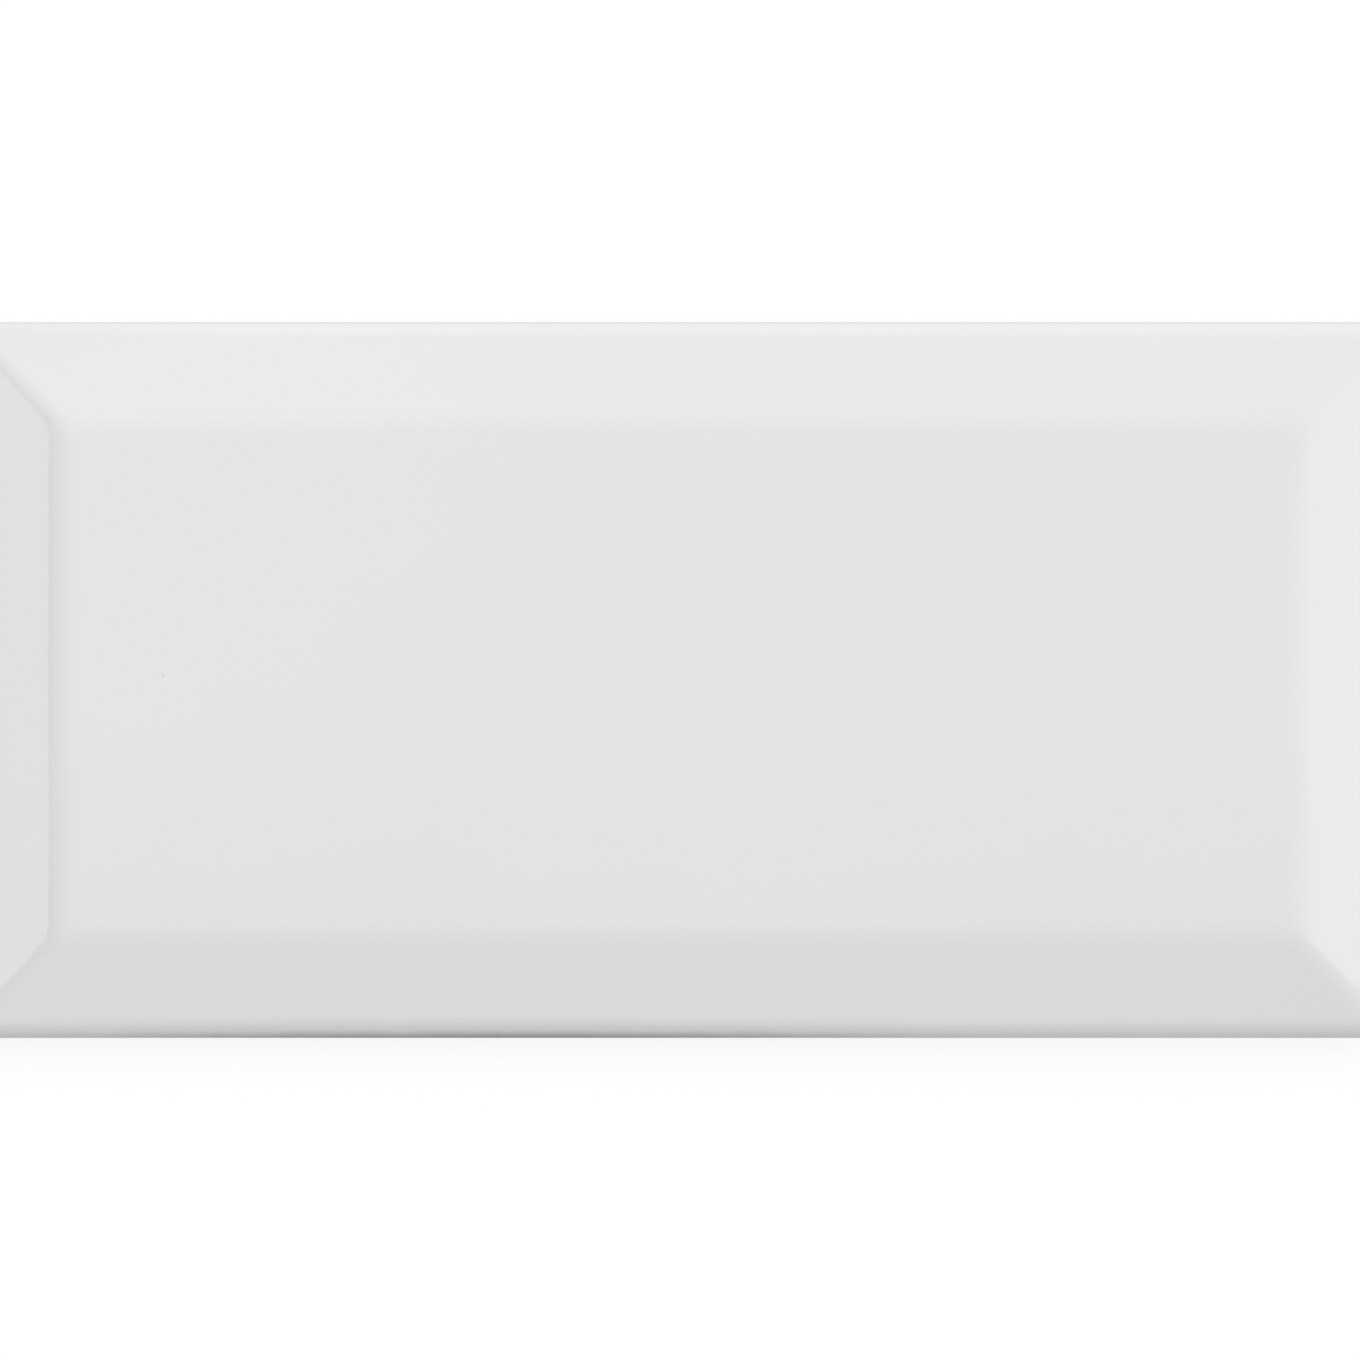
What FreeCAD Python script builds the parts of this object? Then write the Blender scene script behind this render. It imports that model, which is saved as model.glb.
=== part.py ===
"""Bevelled subway wall tile: one pressed, fired and glazed piece, lying on its back.

Millimetres. X runs along the tile, Y up its face as it hangs on a wall, and Z out of its face.
The origin is the middle of the bedding plane, which the ribs of the keyed back share.
"""

import FreeCAD
import Part
import math
import os

# Overall size, back to flat field
LENGTH = 150.0
HEIGHT = 75.0
THICKNESS = 8.0

# Face: each side falls by a mitred bevel from the field to the rim of a thinner edge
BEVEL_RUN = 11.0
EDGE_THICKNESS = 4.9

# Roundings that the press tool and the glaze leave, and the relief of the back edge
ARRIS_RADIUS = 6.5
HIP_RADIUS = 4.0
RIM_RADIUS = 1.6
CORNER_RADIUS = 1.8
BACK_CHAMFER = 0.5

# Keyed back: a plain border round shallow drafted pockets, about a pitch apart between ribs
KEY_MARGIN = 7.35
KEY_PITCH = 12.5
KEY_RIB = 2.2
KEY_DEPTH = 0.7
KEY_DRAFT = 30.0
KEY_CORNER = 1.2

# The least share of the arris radius at which a hip still turns the field's corner smoothly
LEAST_HIP_SHARE = 0.6

# How far a cutter starts below the face that it cuts, and how near two heights count as one
OVERCUT = 1.0
SAME_HEIGHT = 1e-6

ORIGIN = FreeCAD.Vector(0, 0, 0)
UP = FreeCAD.Vector(0, 0, 1)
QUARTER_TURN = 90.0


def mitred_block(size_x, size_y, side):
    """A block whose four sides follow one profile and meet in mitres.

    The profile is a list of (inset, height) points from the foot of a side to its top.
    """
    prisms = []
    for across, along, turn in [(size_x, size_y, 0.0), (size_y, size_x, QUARTER_TURN)]:
        right = [FreeCAD.Vector(across / 2 - inset, -along / 2, height) for inset, height in side]
        left = [FreeCAD.Vector(-point.x, point.y, point.z) for point in reversed(right)]
        section = Part.Face(Part.makePolygon(right + left + right[:1]))
        prism = section.extrude(FreeCAD.Vector(0, along, 0))
        prism.rotate(ORIGIN, UP, turn)
        prisms.append(prism)
    return prisms[0].common(prisms[1])


def edges_between(shape, low, high):
    """The edges whose ends all lie from one height to another."""
    return [
        edge
        for edge in shape.Edges
        if all(low - SAME_HEIGHT < end.Z < high + SAME_HEIGHT for end in edge.Vertexes)
    ]


def edges_rising(shape, low, high):
    """The edges that start at or above one height and climb to another."""
    rising = []
    for edge in edges_between(shape, low, high):
        heights = sorted(end.Z for end in edge.Vertexes)
        if heights[0] < high - SAME_HEIGHT < heights[-1]:
            rising.append(edge)
    return rising


def pressed_body():
    """The tile's outer form: walls, bevels and field, with every edge and mitre softened."""
    bevel_rise = THICKNESS - EDGE_THICKNESS
    side = [(0.0, 0.0), (0.0, EDGE_THICKNESS), (BEVEL_RUN, THICKNESS)]
    body = mitred_block(LENGTH, HEIGHT, side)

    # Plan corners, up the walls
    body = body.makeFillet(CORNER_RADIUS, edges_rising(body, 0.0, EDGE_THICKNESS))

    # Hips, where two bevels meet, then the arris round the field
    rim_top = EDGE_THICKNESS + bevel_rise * CORNER_RADIUS / BEVEL_RUN
    hip_radius = max(HIP_RADIUS, LEAST_HIP_SHARE * ARRIS_RADIUS)
    body = body.makeFillet(hip_radius, edges_rising(body, EDGE_THICKNESS, THICKNESS))
    body = body.makeFillet(ARRIS_RADIUS, edges_between(body, THICKNESS, THICKNESS))

    # Rim, where the bevels and hips meet the walls, then the edge of the back
    rim_radius = min(RIM_RADIUS, CORNER_RADIUS)
    body = body.makeFillet(rim_radius, edges_between(body, EDGE_THICKNESS, rim_top))
    return body.makeChamfer(BACK_CHAMFER, edges_between(body, 0.0, 0.0))


def key_cutter(mouth_x, mouth_y):
    """One pocket of the back as a solid, widest at its mouth, whose middle is at the origin."""
    spread = math.tan(math.radians(KEY_DRAFT))
    widening = 2 * OVERCUT * spread
    side = [(0.0, -OVERCUT), ((KEY_DEPTH + OVERCUT) * spread, KEY_DEPTH)]
    block = mitred_block(mouth_x + widening, mouth_y + widening, side)
    return block.makeFillet(KEY_CORNER, edges_rising(block, -OVERCUT, KEY_DEPTH))


def key_row(size):
    """Pitch and middles of the pockets that fill one side of the tile between plain borders."""
    span = size - 2 * KEY_MARGIN + KEY_RIB
    count = max(1, round(span / KEY_PITCH))
    pitch = span / count
    return pitch, [(index - (count - 1) / 2) * pitch for index in range(count)]


def tile():
    """The whole tile, with its back keyed."""
    pitch_x, columns = key_row(LENGTH)
    pitch_y, rows = key_row(HEIGHT)
    cutter = key_cutter(pitch_x - KEY_RIB, pitch_y - KEY_RIB)
    pockets = [cutter.translated(FreeCAD.Vector(x, y, 0)) for x in columns for y in rows]
    return pressed_body().cut(pockets).Solids[0]


os.makedirs("parts", exist_ok=True)
tile().exportStep("parts/tile.step")
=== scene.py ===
"""Bevelled subway wall tile: a white gloss glaze over a bare fired body with a keyed back.

Metres, in the part's frame: X along the tile, Y up its face, Z out of its face, back at Z = 0.
"""

import math

import bmesh
import bpy
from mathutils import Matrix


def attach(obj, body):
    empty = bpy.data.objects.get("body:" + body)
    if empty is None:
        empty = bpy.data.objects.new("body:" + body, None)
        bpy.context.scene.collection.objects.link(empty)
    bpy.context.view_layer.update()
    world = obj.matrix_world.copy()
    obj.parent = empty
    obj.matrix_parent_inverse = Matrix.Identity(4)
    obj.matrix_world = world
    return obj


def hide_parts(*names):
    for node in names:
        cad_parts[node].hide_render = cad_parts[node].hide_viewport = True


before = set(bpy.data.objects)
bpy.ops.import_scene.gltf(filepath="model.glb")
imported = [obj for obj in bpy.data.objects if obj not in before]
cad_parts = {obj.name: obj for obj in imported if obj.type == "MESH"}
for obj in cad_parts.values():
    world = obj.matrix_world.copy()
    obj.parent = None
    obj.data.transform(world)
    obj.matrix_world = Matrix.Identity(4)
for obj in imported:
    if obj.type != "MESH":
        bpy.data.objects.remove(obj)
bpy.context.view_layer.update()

MM = 0.001
UPRIGHT = math.radians(90.0)

# Two heights closer than this are the same
SAME_HEIGHT = 0.001 * MM

# Overall size, and the bevels round the field, which lies a hair below the top of the CAD box
HALF_LENGTH = 75.0 * MM
HALF_HEIGHT = 37.5 * MM
FIELD_HEIGHT = 7.985 * MM
BEVEL_RUN = 11.0 * MM
BEVEL_FALL = 3.1 * MM
BEVEL_TILT = math.atan2(BEVEL_FALL, BEVEL_RUN)

# Roundings of the face: a tight nose over the wall, a full shoulder behind it, a soft arris
CORNER_RADIUS = 1.5 * MM
NOSE_RADIUS = 0.5 * MM
SHOULDER_RADIUS = 7.0 * MM
SHOULDER_TILT = math.radians(30.0)
ARRIS_RADIUS = 10.0 * MM

# Wall: bare body below, and the glaze that ends in a thick lip above it. Each step of the lip gains a share
# of the glaze's thickness outwards and a share of the lip's radius upwards
BACK_EDGE_RADIUS = 0.45 * MM
GLAZE_THICKNESS = 0.14 * MM
FOOT_INSET = BACK_EDGE_RADIUS + GLAZE_THICKNESS
GLAZE_LIP_HEIGHT = 1.75 * MM
GLAZE_LIP_RADIUS = 0.16 * MM
GLAZE_LIP_STEPS = [(0.62, 0.08), (0.26, 0.4), (0.12, 0.6)]

# How the lip wanders along the wall: how far, over what length and how unevenly, and how much of the wall
# about it goes with it, wholly and then less and less
GLAZE_LIP_SWAY = 1.7 * MM
GLAZE_LIP_WAVE = 11.0 * MM
GLAZE_LIP_WAVE_DEPTH = 2
GLAZE_LIP_HOLD = 0.25 * MM
GLAZE_LIP_FADE = 1.25 * MM
WALL_BAND = 0.5 * MM

# How finely the outline is divided along its sides and round its corners, then the roundings of the section,
# and the places where its straight parts are divided
LONG_SIDE_PARTS = 100
SHORT_SIDE_PARTS = 48
CORNER_PARTS = 8
BACK_EDGE_PARTS = 4
NOSE_PARTS = 10
SHOULDER_PARTS = 9
ARRIS_PARTS = 12
BARE_WALL_CUTS = [0.25, 0.5, 0.75]
GLAZED_WALL_CUTS = [0.25, 0.5, 0.75, 0.93]
BEVEL_CUTS = [0.03, 0.25, 0.5, 0.75, 0.97]

# An undivided side is longer than this many of its halves, and edges that turn less than this are smooth
SIDE_AT_LEAST = 1.5
SMOOTH_BELOW = math.radians(30.0)

# Keyed back: shallow drafted pockets between ribs, with small roundings at the mouth and the floor
KEY_COLUMNS = 11
KEY_ROWS = 5
KEY_PITCH = 12.5 * MM
KEY_MOUTH = 10.3 * MM
KEY_DEPTH = 0.7 * MM
KEY_DRAFT_RUN = KEY_DEPTH * math.tan(math.radians(30.0))
KEY_CORNER = 1.2 * MM
KEY_CORNER_PARTS = 5
KEY_MOUTH_EDGE = 0.16 * MM
KEY_MOUTH_EDGE_PARTS = 2
KEY_FLOOR_EDGE = 0.3 * MM
KEY_FLOOR_EDGE_PARTS = 3
KEY_EDGE_TURN = math.radians(20.0)
KEY_WELD = 0.01 * MM

# White glaze: two close whites and the clouding between them, the gloss, and a very slight ripple. Each
# pattern is given by its scale and detail
GLAZE_WHITE = (0.788, 0.788, 0.787, 1.0)
GLAZE_WHITER = (0.798, 0.798, 0.798, 1.0)
GLAZE_CLOUDING = (24.0, 2.0)
GLAZE_CLOUD_FADE = (0.25, 0.75)
GLAZE_GLOSS = (0.035, 0.06)
GLAZE_GLOSS_FADE = (0.2, 0.8)
GLAZE_RIPPLE = (230.0, 2.0)
GLAZE_RIPPLE_HEIGHT = 0.004 * MM
GLAZE_IOR = 1.5

# Painted shade on the nose, a dark grey band of shade: its colour and how far it makes the glaze duller, its
# lower and upper fades, the faint veil of it up the shoulder, how they wander, where along the lower edge it
# shows most, and the shares of it that are left at the ends and on the upper edge
PAINTED_SHADE_COLOUR = (0.35, 0.346, 0.338, 1.0)
PAINTED_SHADE_DULLING = 0.12
PAINTED_SHADE_LOW_FADE = (3.95 * MM, 4.35 * MM)
PAINTED_SHADE_HIGH_FADE = (4.56 * MM, 5.16 * MM)
PAINTED_SHADE_VEIL = 0.12
PAINTED_SHADE_VEIL_FADE = (5.35 * MM, 5.62 * MM)
PAINTED_SHADE_WANDER = 0.2 * MM
PAINTED_SHADE_WANDERING = (190.0, 3.0)
PAINTED_SHADE_MIDDLE = -19.0 * MM
PAINTED_SHADE_FADE_ALONG = (6.0 * MM, 58.0 * MM)
PAINTED_SHADE_AT_ENDS = 0.22
PAINTED_SHADE_AT_HEAD = 0.05

# The pinhole at the left of the field, with the share of its radius that is at full depth
PINHOLE = (-53.4 * MM, 0.5 * MM, FIELD_HEIGHT)
PINHOLE_RADIUS = 0.22 * MM
PINHOLE_CORE = 0.3
PINHOLE_DEPTH = 0.004 * MM
PINHOLE_COLOUR = (0.70, 0.695, 0.685, 1.0)

# Bare biscuit: a grain of two tones, smoked in clouds by the kiln, with dark flecks, and matt all over
BISCUIT_DEEPER = (0.58, 0.52, 0.44, 1.0)
BISCUIT_PALER = (0.71, 0.66, 0.58, 1.0)
BISCUIT_GRAIN = (2600.0, 4.0)
BISCUIT_GRAIN_FADE = (0.3, 0.7)
BISCUIT_GRAIN_HEIGHT = 0.06 * MM
BISCUIT_GRAIN_STRENGTH = 0.5
BISCUIT_MATT = (0.95, 0.8)
SMOKE_COLOUR = (0.52, 0.45, 0.36, 1.0)
SMOKE_CLOUDING = (55.0, 4.0)
SMOKE_FADE = (0.45, 0.75)
SMOKE_MOST = 0.45
FLECK_COLOUR = (0.25, 0.18, 0.12, 1.0)
FLECK_PATTERN = (1100.0, 1.0)
FLECK_FADE = (0.72, 0.78)
FLECK_MOST = 0.55

# Sockets of a mix node while it mixes colours
MIX_UNDER = 6
MIX_OVER = 7
MIX_RESULT = 2

# Floor: how far it reaches, its sides, how far it lies below the back, how much light it gives back, and the
# white it is lifted to where it is seen
FLOOR_RADIUS = 3.0
FLOOR_SIDES = 96
FLOOR_DROP = 0.02 * MM
FLOOR_TONE = 0.2
FLOOR_LIFT = 0.82

# Surround: radiance overhead with a shaded belt on its foot side and a shade on its left, then a broad glow
# on the head's right, which rises and falls by the angle off upright, and an even, dimmer horizon below it
OVERHEAD = 1.235
FOOT_SHADE = 0.509
FOOT_SHADE_NEAR = (-0.12, 0.0)
FOOT_SHADE_FAR = (-0.55, -0.35)
LEFT_SHADE = 0.367
LEFT_SHADE_FADE = (-0.47, -0.23)
SIDE_GLOW = (9.8, 8.54, 0.0)
SIDE_TRIM = 4.0
SIDE_LEAST = 0.02
SIDE_MOST = 2.2
SIDE_RISE = (math.radians(38.0), math.radians(53.0))
SIDE_FALL = (math.radians(65.0), math.radians(79.0))
HORIZON = 0.6

# Strip lamp on the left, seen in the left bevel: distance, angle off upright, length, width, power, and the
# place that it faces
STRIP_DISTANCE = 1.0
STRIP_ANGLE = math.radians(49.4)
STRIP_LENGTH = 1.5
STRIP_WIDTH = 0.16
STRIP_POWER = 1.41
STRIP_AIM = (-70.0 * MM, 0.0, 6.0 * MM)

# Camera over the tile's middle: its height, the width that it sees at the height of the rim, its sensor's
# width in millimetres, and the nearest that it sees
CAMERA_HEIGHT = 264.0 * MM
RIM_HEIGHT = 4.4 * MM
VIEW_WIDTH = 142.46 * MM
SENSOR_WIDTH = 36.0
CAMERA_NEAREST = 10.0 * MM


def clear_selection():
    """Nothing selected, so that the next operator acts on its own piece alone."""
    bpy.ops.object.select_all(action="DESELECT")


def hold(piece):
    """One piece selected and active, and no other."""
    clear_selection()
    piece.select_set(True)
    bpy.context.view_layer.objects.active = piece


def take_up(piece):
    """One piece held and opened for editing, with nothing in it selected."""
    hold(piece)
    bpy.ops.object.mode_set(mode="EDIT")
    bpy.ops.mesh.select_mode(type="VERT")
    bpy.ops.mesh.select_all(action="DESELECT")


def put_down():
    """Back out of editing."""
    bpy.ops.object.mode_set(mode="OBJECT")


def choose_edges(piece, wanted):
    """Selects the edges that a test picks, and only those."""
    bpy.ops.mesh.select_mode(type="EDGE")
    bpy.ops.mesh.select_all(action="DESELECT")
    work = bmesh.from_edit_mesh(piece.data)
    for edge in work.edges:
        if wanted(edge):
            edge.select_set(True)
    bmesh.update_edit_mesh(piece.data)


def choose_faces(piece, wanted):
    """Selects the faces that a test picks, and only those."""
    bpy.ops.mesh.select_mode(type="FACE")
    bpy.ops.mesh.select_all(action="DESELECT")
    work = bmesh.from_edit_mesh(piece.data)
    for face in work.faces:
        if wanted(face):
            face.select_set(True)
    bmesh.update_edit_mesh(piece.data)


def level_with(edge, height):
    """Whether both ends of an edge lie at a height."""
    return all(abs(end.co.z - height) < SAME_HEIGHT for end in edge.verts)


def turns(edge):
    """Whether the two faces at an edge of the keyed back stand at an angle to each other."""
    return len(edge.link_faces) == 2 and edge.calc_face_angle() > KEY_EDGE_TURN


def rounding(radius, from_tilt, to_tilt, parts):
    """Steps inwards and upwards round a section that turns from one tilt to a flatter one."""
    steps = []
    for part in range(parts):
        here = from_tilt + (to_tilt - from_tilt) * part / parts
        there = from_tilt + (to_tilt - from_tilt) * (part + 1) / parts
        steps.append((radius * (math.sin(here) - math.sin(there)),
                      radius * (math.cos(there) - math.cos(here))))
    return steps


def straight(run, rise, cuts):
    """Steps along a straight part of the section, divided at shares of its length."""
    steps = []
    before = 0.0
    for cut in cuts + [1.0]:
        steps.append((run * (cut - before), rise * (cut - before)))
        before = cut
    return steps


def draw_in(half_length, half_height, run, rise):
    """Extrudes the cap and mitres it in: every side moves in by the run, and the cap climbs."""
    bpy.ops.mesh.extrude_region_move(TRANSFORM_OT_translate={"value": (0.0, 0.0, rise)})
    scale = ((half_length - run) / half_length, (half_height - run) / half_height, 1.0)
    bpy.ops.transform.resize(value=scale, center_override=(0.0, 0.0, 0.0))


def tile_blank():
    """The tile's outline as a flat face: a rectangle with round corners and finely divided sides."""
    clear_selection()
    bpy.ops.mesh.primitive_plane_add(size=1.0)
    tile = bpy.context.object
    tile.name = "glazed_tile"
    tile.data.name = "glazed_tile"
    take_up(tile)
    bpy.ops.mesh.select_all(action="SELECT")
    size = (2 * (HALF_LENGTH - FOOT_INSET), 2 * (HALF_HEIGHT - FOOT_INSET), 1.0)
    bpy.ops.transform.resize(value=size, center_override=(0.0, 0.0, 0.0))
    bpy.ops.mesh.bevel(offset=CORNER_RADIUS, offset_type="OFFSET", segments=CORNER_PARTS, affect="VERTICES")
    choose_faces(tile, lambda face: True)
    bpy.ops.mesh.delete(type="ONLY_FACE")
    choose_edges(tile, lambda edge: edge.calc_length() > SIDE_AT_LEAST * HALF_LENGTH)
    bpy.ops.mesh.subdivide(number_cuts=LONG_SIDE_PARTS - 1)
    choose_edges(tile, lambda edge: edge.calc_length() > SIDE_AT_LEAST * HALF_HEIGHT)
    bpy.ops.mesh.subdivide(number_cuts=SHORT_SIDE_PARTS - 1)
    bpy.ops.mesh.select_all(action="SELECT")
    bpy.ops.mesh.edge_face_add()
    put_down()
    return tile


def raise_walls_and_bevels(tile):
    """Draws the blank up through the bare wall, the glaze lip, the nose, the bevels and the arris."""
    nose_height = FIELD_HEIGHT - BEVEL_FALL
    arris_half = ARRIS_RADIUS * math.tan(BEVEL_TILT / 2)
    bevel_top = BEVEL_RUN - arris_half * math.cos(BEVEL_TILT)
    nose_run = NOSE_RADIUS * (1 - math.sin(SHOULDER_TILT))
    nose_rise = NOSE_RADIUS * math.cos(SHOULDER_TILT)
    shoulder = rounding(SHOULDER_RADIUS, SHOULDER_TILT, BEVEL_TILT, SHOULDER_PARTS)
    shoulder_run = sum(run for run, rise in shoulder)
    shoulder_rise = sum(rise for run, rise in shoulder)
    bevel_foot = nose_run + shoulder_run
    wall_top = nose_height + bevel_foot * math.tan(BEVEL_TILT) - shoulder_rise - nose_rise

    back_edge = [(-run, rise) for run, rise in
                 reversed(rounding(BACK_EDGE_RADIUS, UPRIGHT, 0.0, BACK_EDGE_PARTS))]
    bare_wall = straight(0.0, GLAZE_LIP_HEIGHT - BACK_EDGE_RADIUS, BARE_WALL_CUTS)
    lip = [(-GLAZE_THICKNESS * out, GLAZE_LIP_RADIUS * up) for out, up in GLAZE_LIP_STEPS]
    lip_top = GLAZE_LIP_HEIGHT + sum(rise for run, rise in lip)
    glazed_wall = straight(0.0, wall_top - lip_top, GLAZED_WALL_CUTS)
    nose = rounding(NOSE_RADIUS, UPRIGHT, SHOULDER_TILT, NOSE_PARTS)
    bevel_run = bevel_top - bevel_foot
    bevel = straight(bevel_run, bevel_run * math.tan(BEVEL_TILT), BEVEL_CUTS)
    arris = rounding(ARRIS_RADIUS, BEVEL_TILT, 0.0, ARRIS_PARTS)

    take_up(tile)
    bpy.ops.mesh.select_all(action="SELECT")
    inset = FOOT_INSET
    for run, rise in back_edge + bare_wall + lip + glazed_wall:
        draw_in(HALF_LENGTH - inset, HALF_HEIGHT - inset, run, rise)
        inset += run
    # The nose is inset evenly all round, corners too, and what follows is mitred in
    for run, rise in nose:
        bpy.ops.mesh.inset(thickness=run, use_even_offset=True)
        bpy.ops.transform.translate(value=(0.0, 0.0, rise))
        inset += run
    for run, rise in shoulder + bevel + arris:
        draw_in(HALF_LENGTH - inset, HALF_HEIGHT - inset, run, rise)
        inset += run
    put_down()


def fill_field(tile):
    """Gives the field a grid of faces from corner to corner, in place of one many-sided face."""
    take_up(tile)
    choose_faces(tile, lambda face: len(face.verts) > 4)
    bpy.ops.mesh.delete(type="ONLY_FACE")
    bpy.ops.mesh.select_mode(type="VERT")
    work = bmesh.from_edit_mesh(tile.data)
    top = max(point.co.z for point in work.verts)
    border = [point for point in work.verts if point.co.z > top - SAME_HEIGHT]
    # The grid starts at the middle of a round corner, found by undoing how far each side drew in
    drawn_along = max(point.co.x for point in border) / HALF_LENGTH
    drawn_across = max(point.co.y for point in border) / HALF_HEIGHT
    corner = max(border, key=lambda point: point.co.x + drawn_along / drawn_across * point.co.y)
    for point in border:
        point.select_set(True)
    work.select_flush(True)
    work.select_history.clear()
    work.select_history.add(corner)
    bmesh.update_edit_mesh(tile.data)
    bpy.ops.mesh.fill_grid(span=SHORT_SIDE_PARTS + CORNER_PARTS)
    put_down()


def keyed_back():
    """The pockets and ribs of the back: one cell modelled, then repeated in columns and rows."""
    clear_selection()
    bpy.ops.mesh.primitive_plane_add(size=KEY_PITCH)
    back = bpy.context.object
    back.name = "keyed_back"
    take_up(back)
    choose_faces(back, lambda face: True)
    bpy.ops.mesh.delete(type="ONLY_FACE")
    bpy.ops.mesh.select_mode(type="VERT")
    bpy.ops.mesh.primitive_plane_add(size=KEY_MOUTH)
    bpy.ops.mesh.bevel(offset=KEY_CORNER, offset_type="OFFSET", segments=KEY_CORNER_PARTS, affect="VERTICES")
    choose_faces(back, lambda face: True)
    bpy.ops.mesh.inset(thickness=KEY_DRAFT_RUN, depth=KEY_DEPTH, use_even_offset=True)
    choose_edges(back, lambda edge: level_with(edge, 0.0))
    bpy.ops.mesh.fill(use_beauty=True)
    for height, offset, parts in [(0.0, KEY_MOUTH_EDGE, KEY_MOUTH_EDGE_PARTS),
                                  (KEY_DEPTH, KEY_FLOOR_EDGE, KEY_FLOOR_EDGE_PARTS)]:
        choose_edges(back, lambda edge: level_with(edge, height) and turns(edge))
        bpy.ops.mesh.bevel(offset=offset, offset_type="OFFSET", segments=parts, affect="EDGES")
    bpy.ops.mesh.select_all(action="SELECT")
    first = (-(KEY_COLUMNS - 1) / 2 * KEY_PITCH, -(KEY_ROWS - 1) / 2 * KEY_PITCH, 0.0)
    bpy.ops.transform.translate(value=first)
    put_down()
    for name, count, step in [("columns", KEY_COLUMNS, (KEY_PITCH, 0.0, 0.0)),
                              ("rows", KEY_ROWS, (0.0, KEY_PITCH, 0.0))]:
        repeat = back.modifiers.new(name, "ARRAY")
        repeat.count = count
        repeat.use_relative_offset = False
        repeat.use_constant_offset = True
        repeat.constant_offset_displace = step
        repeat.use_merge_vertices = True
        repeat.merge_threshold = KEY_WELD
        bpy.ops.object.modifier_apply(modifier=name)
    return back


def close_back(tile, back):
    """Joins the keyed back to the foot of the walls by a plain border."""
    hold(tile)
    back.select_set(True)
    bpy.ops.object.join()
    take_up(tile)
    choose_edges(tile, lambda edge: len(edge.link_faces) == 1)
    bpy.ops.mesh.fill(use_beauty=True)
    bpy.ops.mesh.select_all(action="SELECT")
    bpy.ops.mesh.normals_make_consistent(inside=False)
    put_down()


def share_with_lip(place):
    """How far a point of the wall goes with the lip of the glaze as it wanders."""
    past_outline = max(abs(place.x) - HALF_LENGTH, abs(place.y) - HALF_HEIGHT)
    if place.z > FIELD_HEIGHT / 2 or past_outline < -WALL_BAND:
        return 0.0
    beyond_hold = max(0.0, abs(place.z - GLAZE_LIP_HEIGHT) - GLAZE_LIP_HOLD)
    return max(0.0, 1.0 - beyond_hold / GLAZE_LIP_FADE)


def sway_glaze_lip(tile):
    """Lets the lip of the glaze wander up and down the wall, as where a dipped tile was wiped."""
    group = tile.vertex_groups.new(name="glaze_lip")
    for point in tile.data.vertices:
        share = share_with_lip(point.co)
        if share > 0.0:
            group.add([point.index], share, "REPLACE")
    wander = bpy.data.textures.new("glaze_lip_wander", "CLOUDS")
    wander.noise_scale = GLAZE_LIP_WAVE
    wander.noise_depth = GLAZE_LIP_WAVE_DEPTH
    shift = tile.modifiers.new("glaze_lip", "DISPLACE")
    shift.texture = wander
    shift.texture_coords = "LOCAL"
    shift.direction = "Z"
    shift.vertex_group = "glaze_lip"
    shift.strength = GLAZE_LIP_SWAY
    shift.mid_level = 0.5
    hold(tile)
    bpy.ops.object.modifier_apply(modifier="glaze_lip")


def split_finishes(tile, glaze, biscuit):
    """Glaze down to the lip, and bare body below it and over the back."""
    tile.data.materials.append(glaze)
    tile.data.materials.append(biscuit)
    for face in tile.data.polygons:
        face.material_index = 1 if face.center.z < GLAZE_LIP_HEIGHT - SAME_HEIGHT else 0


def material_of(name):
    """A new material, its node tree and the socket that its surface goes to."""
    material = bpy.data.materials.new(name)
    material.use_nodes = True
    tree = material.node_tree
    tree.nodes.clear()
    output = tree.nodes.new("ShaderNodeOutputMaterial")
    return material, tree, output.inputs["Surface"]


def fired_finish(name):
    """A new material for the tile, its node tree, its shader and the tile's own coordinates."""
    material, tree, surface = material_of(name)
    shader = tree.nodes.new("ShaderNodeBsdfPrincipled")
    tree.links.new(shader.outputs["BSDF"], surface)
    place = tree.nodes.new("ShaderNodeTexCoord").outputs["Object"]
    return material, tree, shader, place


def plug(tree, socket, value):
    """Sets a socket to a number or links it to another node's result."""
    if isinstance(value, bpy.types.NodeSocket):
        tree.links.new(value, socket)
    else:
        socket.default_value = value


def reckon(tree, operation, first, second=0.0):
    """One step of arithmetic on numbers or other nodes' results."""
    step = tree.nodes.new("ShaderNodeMath")
    step.operation = operation
    plug(tree, step.inputs[0], first)
    plug(tree, step.inputs[1], second)
    return step.outputs["Value"]


def soft_step(tree, value, low, high, below, above):
    """A smooth change from one result to another while a value crosses a range."""
    step = tree.nodes.new("ShaderNodeMapRange")
    step.interpolation_type = "SMOOTHSTEP"
    for name, setting in [("Value", value), ("From Min", low), ("From Max", high),
                          ("To Min", below), ("To Max", above)]:
        plug(tree, step.inputs[name], setting)
    return step.outputs["Result"]


def speckle(tree, place, scale, detail):
    """Noise over the tile's own coordinates, about a half."""
    noise = tree.nodes.new("ShaderNodeTexNoise")
    noise.inputs["Scale"].default_value = scale
    noise.inputs["Detail"].default_value = detail
    tree.links.new(place, noise.inputs["Vector"])
    return noise.outputs["Fac"]


def tint(tree, share, under, over):
    """One colour laid over another by a share."""
    mix = tree.nodes.new("ShaderNodeMix")
    mix.data_type = "RGBA"
    plug(tree, mix.inputs["Factor"], share)
    plug(tree, mix.inputs[MIX_UNDER], under)
    plug(tree, mix.inputs[MIX_OVER], over)
    return mix.outputs[MIX_RESULT]


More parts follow.
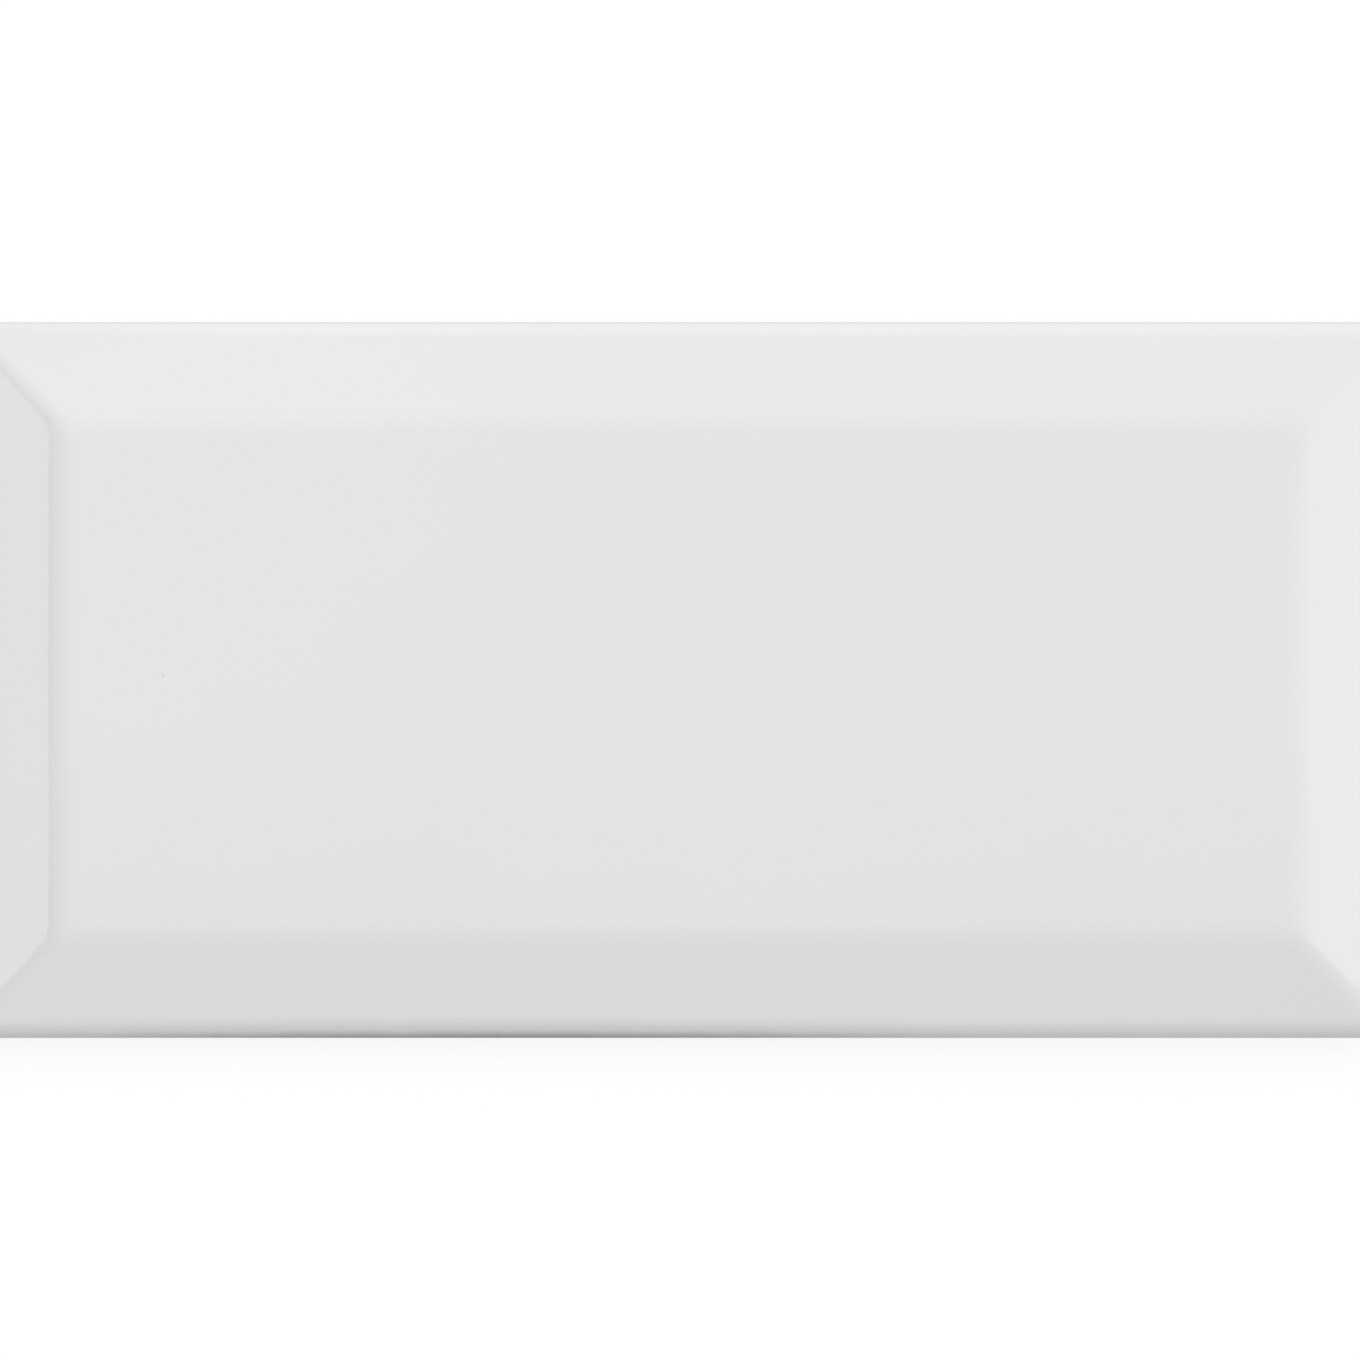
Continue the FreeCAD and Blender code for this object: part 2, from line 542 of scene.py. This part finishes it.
def raise_relief(tree, shader, height, strength=1.0, distance=1.0):
    """Gives a shader fine relief, from heights in metres or as shares of a distance."""
    relief = tree.nodes.new("ShaderNodeBump")
    relief.inputs["Strength"].default_value = strength
    relief.inputs["Distance"].default_value = distance
    tree.links.new(height, relief.inputs["Height"])
    tree.links.new(relief.outputs["Normal"], shader.inputs["Normal"])


def painted_shade_on_nose(tree, place):
    """Painted shade: an uneven dark band round the nose, plainest midway along the lower edge."""
    parts = tree.nodes.new("ShaderNodeSeparateXYZ")
    tree.links.new(place, parts.inputs["Vector"])
    sway = reckon(tree, "SUBTRACT", speckle(tree, place, *PAINTED_SHADE_WANDERING), 0.5)
    height = reckon(tree, "ADD", parts.outputs["Z"], reckon(tree, "MULTIPLY", sway, PAINTED_SHADE_WANDER))
    above_wall = soft_step(tree, height, *PAINTED_SHADE_LOW_FADE, 0.0, 1.0)
    veil = soft_step(tree, height, *PAINTED_SHADE_VEIL_FADE, PAINTED_SHADE_VEIL, 0.0)
    below_shoulder = soft_step(tree, height, *PAINTED_SHADE_HIGH_FADE, 1.0, veil)
    aside = reckon(tree, "ABSOLUTE", reckon(tree, "SUBTRACT", parts.outputs["X"], PAINTED_SHADE_MIDDLE))
    along = soft_step(tree, aside, *PAINTED_SHADE_FADE_ALONG, 1.0, PAINTED_SHADE_AT_ENDS)
    foot = soft_step(tree, parts.outputs["Y"], -HALF_HEIGHT, HALF_HEIGHT, 1.0, PAINTED_SHADE_AT_HEAD)
    band = reckon(tree, "MULTIPLY", above_wall, below_shoulder)
    return reckon(tree, "MULTIPLY", band, reckon(tree, "MULTIPLY", along, foot))


def pricked_at(tree, place):
    """Where the glaze is pricked: the one pinhole at the left of the field."""
    away = tree.nodes.new("ShaderNodeVectorMath")
    away.operation = "DISTANCE"
    away.inputs[1].default_value = PINHOLE
    tree.links.new(place, away.inputs[0])
    return soft_step(tree, away.outputs["Value"], PINHOLE_CORE * PINHOLE_RADIUS, PINHOLE_RADIUS, 1.0, 0.0)


def white_glaze():
    """Opaque white gloss glaze: near even in colour, faintly rippled, with a pinhole, and shade painted on
    the nose.
    """
    material, tree, shader, place = fired_finish("white_glaze")
    clouding = speckle(tree, place, *GLAZE_CLOUDING)
    painted_shade = painted_shade_on_nose(tree, place)
    pricked = pricked_at(tree, place)

    clouded = soft_step(tree, clouding, *GLAZE_CLOUD_FADE, 0.0, 1.0)
    white = tint(tree, clouded, GLAZE_WHITE, GLAZE_WHITER)
    # Painted shade: the white darkened towards grey along the nose, most midway along the lower edge
    shaded_white = tint(tree, painted_shade, white, PAINTED_SHADE_COLOUR)
    colour = tint(tree, pricked, shaded_white, PINHOLE_COLOUR)
    tree.links.new(colour, shader.inputs["Base Color"])

    gloss = soft_step(tree, clouding, *GLAZE_GLOSS_FADE, *GLAZE_GLOSS)
    roughness = reckon(tree, "ADD", gloss, reckon(tree, "MULTIPLY", painted_shade, PAINTED_SHADE_DULLING))
    tree.links.new(roughness, shader.inputs["Roughness"])

    ripple = reckon(tree, "MULTIPLY", speckle(tree, place, *GLAZE_RIPPLE), GLAZE_RIPPLE_HEIGHT)
    pit = reckon(tree, "MULTIPLY", pricked, PINHOLE_DEPTH)
    raise_relief(tree, shader, reckon(tree, "SUBTRACT", ripple, pit))
    shader.inputs["IOR"].default_value = GLAZE_IOR
    return material


def bare_biscuit():
    """Unglazed fired body: off-white, matt and grainy, clouded by the kiln, with dark flecks."""
    material, tree, shader, place = fired_finish("bare_biscuit")
    grain = speckle(tree, place, *BISCUIT_GRAIN)
    clouding = speckle(tree, place, *SMOKE_CLOUDING)
    flecks = soft_step(tree, speckle(tree, place, *FLECK_PATTERN), *FLECK_FADE, 0.0, FLECK_MOST)

    toned = soft_step(tree, grain, *BISCUIT_GRAIN_FADE, 0.0, 1.0)
    grainy = tint(tree, toned, BISCUIT_DEEPER, BISCUIT_PALER)
    smoke = soft_step(tree, clouding, *SMOKE_FADE, 0.0, SMOKE_MOST)
    smoked = tint(tree, smoke, grainy, SMOKE_COLOUR)
    tree.links.new(tint(tree, flecks, smoked, FLECK_COLOUR), shader.inputs["Base Color"])

    roughness = soft_step(tree, grain, *BISCUIT_GRAIN_FADE, *BISCUIT_MATT)
    tree.links.new(roughness, shader.inputs["Roughness"])
    raise_relief(tree, shader, grain, BISCUIT_GRAIN_STRENGTH, BISCUIT_GRAIN_HEIGHT)
    return material


def studio_floor():
    """A plain pale floor, white to the eye and in the glaze, that keeps the tile's shadow."""
    clear_selection()
    bpy.ops.mesh.primitive_circle_add(vertices=FLOOR_SIDES, radius=FLOOR_RADIUS, fill_type="NGON")
    floor = bpy.context.object
    floor.name = "floor"
    take_up(floor)
    bpy.ops.mesh.select_all(action="SELECT")
    bpy.ops.transform.translate(value=(0.0, 0.0, -FLOOR_DROP))
    put_down()
    material, tree, surface = material_of("pale_floor")
    both = tree.nodes.new("ShaderNodeAddShader")
    matt = tree.nodes.new("ShaderNodeBsdfDiffuse")
    matt.inputs["Color"].default_value = (FLOOR_TONE, FLOOR_TONE, FLOOR_TONE, 1.0)
    white = tree.nodes.new("ShaderNodeEmission")
    path = tree.nodes.new("ShaderNodeLightPath").outputs
    seen = reckon(tree, "MAXIMUM", path["Is Camera Ray"], path["Is Glossy Ray"])
    seen = reckon(tree, "MAXIMUM", seen, path["Is Transmission Ray"])
    tree.links.new(reckon(tree, "MULTIPLY", seen, FLOOR_LIFT), white.inputs["Strength"])
    tree.links.new(matt.outputs["BSDF"], both.inputs[0])
    tree.links.new(white.outputs["Emission"], both.inputs[1])
    tree.links.new(both.outputs["Shader"], surface)
    floor.data.materials.append(material)


def surround_light():
    """A soft white surround with a glow to the head's right, and plain white where the camera meets it."""
    world = bpy.data.worlds.new("surround")
    bpy.context.scene.world = world
    world.use_nodes = True
    tree = world.node_tree
    tree.nodes.clear()
    output = tree.nodes.new("ShaderNodeOutputWorld")
    surround = tree.nodes.new("ShaderNodeBackground")
    surround.inputs["Color"].default_value = (1.0, 1.0, 1.0, 1.0)
    tree.links.new(surround.outputs["Background"], output.inputs["Surface"])

    towards = tree.nodes.new("ShaderNodeTexCoord").outputs["Generated"]
    parts = tree.nodes.new("ShaderNodeSeparateXYZ")
    tree.links.new(towards, parts.inputs["Vector"])
    near = soft_step(tree, parts.outputs["Y"], *FOOT_SHADE_NEAR, FOOT_SHADE, 0.0)
    far = soft_step(tree, parts.outputs["Y"], *FOOT_SHADE_FAR, 0.0, 1.0)
    belt = reckon(tree, "MULTIPLY", near, far)
    left = soft_step(tree, parts.outputs["X"], *LEFT_SHADE_FADE, 1.0 - LEFT_SHADE, 1.0)
    overhead = reckon(tree, "MULTIPLY", reckon(tree, "SUBTRACT", OVERHEAD, belt), left)

    # The side glow goes by bearing alone, so the direction is laid flat first
    level = tree.nodes.new("ShaderNodeVectorMath")
    level.operation = "MULTIPLY"
    level.inputs[1].default_value = (1.0, 1.0, 0.0)
    tree.links.new(towards, level.inputs[0])
    bearing = tree.nodes.new("ShaderNodeVectorMath")
    bearing.operation = "NORMALIZE"
    tree.links.new(level.outputs["Vector"], bearing.inputs[0])
    glow = tree.nodes.new("ShaderNodeVectorMath")
    glow.operation = "DOT_PRODUCT"
    glow.inputs[1].default_value = SIDE_GLOW
    tree.links.new(bearing.outputs["Vector"], glow.inputs[0])
    side = reckon(tree, "SUBTRACT", glow.outputs["Value"], SIDE_TRIM)
    side = reckon(tree, "MINIMUM", reckon(tree, "MAXIMUM", side, SIDE_LEAST), SIDE_MOST)

    off_upright = reckon(tree, "ARCCOSINE", parts.outputs["Z"])
    light = soft_step(tree, off_upright, *SIDE_RISE, overhead, side)
    light = soft_step(tree, off_upright, *SIDE_FALL, light, HORIZON)
    seen = tree.nodes.new("ShaderNodeLightPath").outputs["Is Camera Ray"]
    tree.links.new(soft_step(tree, seen, 0.0, 1.0, light, 1.0), surround.inputs["Strength"])


def strip_lamp():
    """A long strip lamp on the left, which shows in the left bevel."""
    lamp = bpy.data.lights.new("left_strip", "AREA")
    lamp.shape = "RECTANGLE"
    lamp.size = STRIP_LENGTH
    lamp.size_y = STRIP_WIDTH
    lamp.energy = STRIP_POWER
    strip = bpy.data.objects.new("left_strip", lamp)
    bpy.context.scene.collection.objects.link(strip)
    strip.location = (STRIP_AIM[0] - STRIP_DISTANCE * math.sin(STRIP_ANGLE), STRIP_AIM[1],
                      STRIP_AIM[2] + STRIP_DISTANCE * math.cos(STRIP_ANGLE))
    strip.rotation_euler = (STRIP_ANGLE, 0.0, -UPRIGHT)


def photograph_camera():
    """Straight down over the middle, so near that the tile's ends fall outside the frame."""
    camera = bpy.data.objects.new("camera", bpy.data.cameras.new("camera"))
    bpy.context.scene.collection.objects.link(camera)
    camera.location = (0.0, 0.0, CAMERA_HEIGHT)
    camera.data.sensor_width = SENSOR_WIDTH
    camera.data.lens = SENSOR_WIDTH * (CAMERA_HEIGHT - RIM_HEIGHT) / VIEW_WIDTH
    camera.data.clip_start = CAMERA_NEAREST
    bpy.context.scene.camera = camera


bpy.context.scene.view_settings.view_transform = "Standard"

tile = tile_blank()
raise_walls_and_bevels(tile)
fill_field(tile)
close_back(tile, keyed_back())
split_finishes(tile, white_glaze(), bare_biscuit())
sway_glaze_lip(tile)
bpy.ops.object.shade_smooth_by_angle(angle=SMOOTH_BELOW)
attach(tile, "root")
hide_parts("tile")

studio_floor()
surround_light()
strip_lamp()
photograph_camera()
